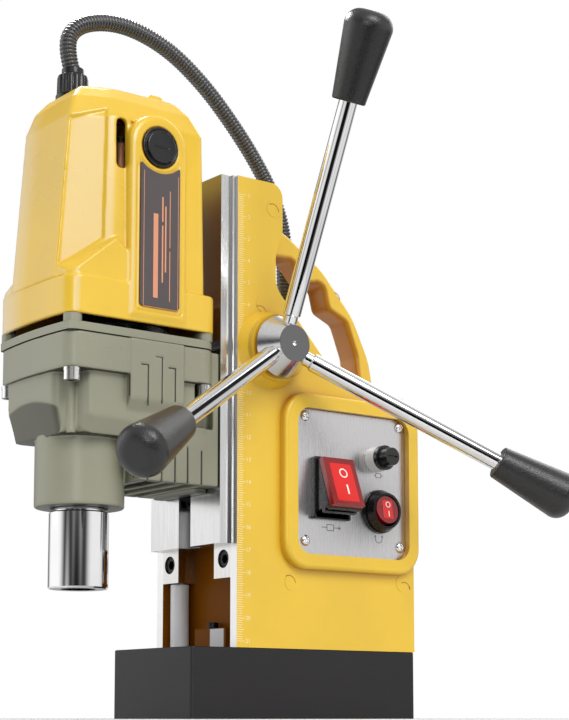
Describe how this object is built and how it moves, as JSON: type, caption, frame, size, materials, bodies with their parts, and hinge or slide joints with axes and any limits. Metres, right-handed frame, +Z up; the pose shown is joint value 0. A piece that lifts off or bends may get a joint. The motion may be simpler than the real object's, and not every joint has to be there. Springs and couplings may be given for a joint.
{
  "type": "magnetic drill press",
  "caption": "Magnetic-base drill press: column with rack-fed slide, electric drilling head, three-arm feed handle, carry handle and switch panel.",
  "frame": {"origin": "centre of the magnet's pole face, on the surface it clamps to", "axes": "+Z up the column, -Y from the column towards the spindle, +X towards the side with the switch panel and the feed handle"},
  "size_m": [0.1876, 0.3058, 0.4021],
  "materials": {
    "base_paint": "fine brushed dark paint",
    "yellow_paint": "semi-gloss powder coat",
    "yellow_shell": "semi-gloss moulded shell",
    "olive_paint": "satin paint on die cast aluminium",
    "polished_steel": "ground and polished",
    "rail_steel": "machined",
    "chrome": "polished chrome plate",
    "hub_chrome": "satin chrome",
    "grip_rubber": "textured black",
    "black_screw": "black oxide",
    "zinc_screw": "zinc plated",
    "panel_steel": "brushed",
    "black_plastic": "satin moulded",
    "rocker_red": "translucent red",
    "white_plastic": "satin",
    "fuse_glass": "clear",
    "board_green": "solder mask",
    "bronze": "sintered bronze",
    "gear_steel": "hardened and oiled",
    "copper": "enamelled winding",
    "epoxy": "cast resin",
    "bearing_steel": "ground",
    "lamination": "stacked sheet",
    "carbon": "pressed carbon",
    "plate_ink": "printed blank plate",
    "conduit_black": "ribbed black sheath",
    "grey_tube": "plain tube"
  },
  "bodies": {
    "stand": {"magnet_base": "base_paint", "magnet_coil": "copper", "coil_potting": "epoxy", "coil_lead_tube": "grey_tube", "frame_screws": "black_screw", "rail_adjusters": "black_screw", "side_plugs": "yellow_paint", "panel_screws": "chrome", "column_casting": "yellow_paint", "feed_bushes": "bronze", "guide_rail_right": "rail_steel", "guide_rail_left": "rail_steel", "carry_handle": "yellow_paint", "drill_switch_boot": "black_plastic", "drill_switch_body": "black_plastic", "magnet_switch_body": "black_plastic", "fuse_holder": "white_plastic", "fuse_link": "fuse_glass", "control_panel": "panel_steel", "circuit_board": "board_green", "lower_gland": "black_plastic", "conduit": "conduit_black"},
    "drill_switch": {"drill_rocker": "rocker_red", "rocker_bellows": "black_plastic"},
    "magnet_switch": {"magnet_rocker": "rocker_red"},
    "fuse_top": {"fuse_cap": "black_plastic"},
    "feed": {"feed_shaft": "gear_steel", "feed_pinion": "gear_steel", "feed_hub": "hub_chrome", "feed_rod_1": "chrome", "feed_rod_2": "chrome", "feed_rod_3": "chrome", "grip_1": "grip_rubber", "grip_2": "grip_rubber", "grip_3": "grip_rubber"},
    "carriage": {"rack_screws": "black_screw", "carriage_screws": "black_screw", "slide_plate": "polished_steel", "feed_rack": "gear_steel", "gearcase_bolts": "zinc_screw", "gearcase": "olive_paint", "nose_ring": "bearing_steel", "gearcase_cover": "olive_paint", "head_bearings": "bearing_steel", "motor_housing": "yellow_shell", "stator_core": "lamination", "field_coils": "copper", "brush_holders": "bronze", "carbon_brushes": "carbon", "brush_caps": "black_plastic", "rating_plate": "plate_ink", "upper_gland": "black_plastic"},
    "rotor": {"armature_shaft": "gear_steel", "armature_core": "lamination", "commutator": "copper", "cooling_fan": "black_plastic"},
    "countershaft": {"layshaft": "gear_steel"},
    "spindle": {"spindle_arbor": "chrome", "spindle_gear": "gear_steel", "arbor_screws": "black_screw"}
  },
  "joints": [
    {"name": "head_feed", "type": "slide", "parent": "stand", "child": "carriage", "axis": [0, 0, 1], "range_m": [-0.04, 0.1], "deforming": ["conduit"]},
    {"name": "feed_turn", "type": "hinge", "parent": "stand", "child": "feed", "pos_m": [0, -0.0281, 0.2085], "axis": [1, 0, 0], "range_deg": [-478, 191]},
    {"name": "spindle_spin", "type": "hinge", "parent": "carriage", "child": "spindle", "pos_m": [0, -0.1279, 0.1], "axis": [0, 0, 1], "continuous": true},
    {"name": "armature_spin", "type": "hinge", "parent": "carriage", "child": "rotor", "pos_m": [0, -0.104, 0.26], "axis": [0, 0, 1], "continuous": true},
    {"name": "countershaft_spin", "type": "hinge", "parent": "carriage", "child": "countershaft", "pos_m": [0.01593, -0.10995, 0.18], "axis": [0, 0, 1], "continuous": true},
    {"name": "drill_switch_tilt", "type": "hinge", "parent": "stand", "child": "drill_switch", "pos_m": [0.046, 0.0138, 0.1314], "axis": [0, 1, 0], "range_deg": [0, 41.4]},
    {"name": "magnet_switch_tilt", "type": "hinge", "parent": "stand", "child": "magnet_switch", "pos_m": [0.0455, 0.0514, 0.1212], "axis": [0, 1, 0], "range_deg": [0, 18]},
    {"name": "fuse_cap_turn", "type": "hinge", "parent": "stand", "child": "fuse_top", "pos_m": [0.042, 0.0488, 0.1523], "axis": [1, 0, 0], "range_deg": [0, 90]}
  ],
  "couplings": [
    {"joint": "feed_turn", "follows": "head_feed", "rad_per_m": -83.333},
    {"joint": "countershaft_spin", "follows": "armature_spin", "ratio": -0.30769},
    {"joint": "spindle_spin", "follows": "armature_spin", "ratio": 0.10256}
  ]
}
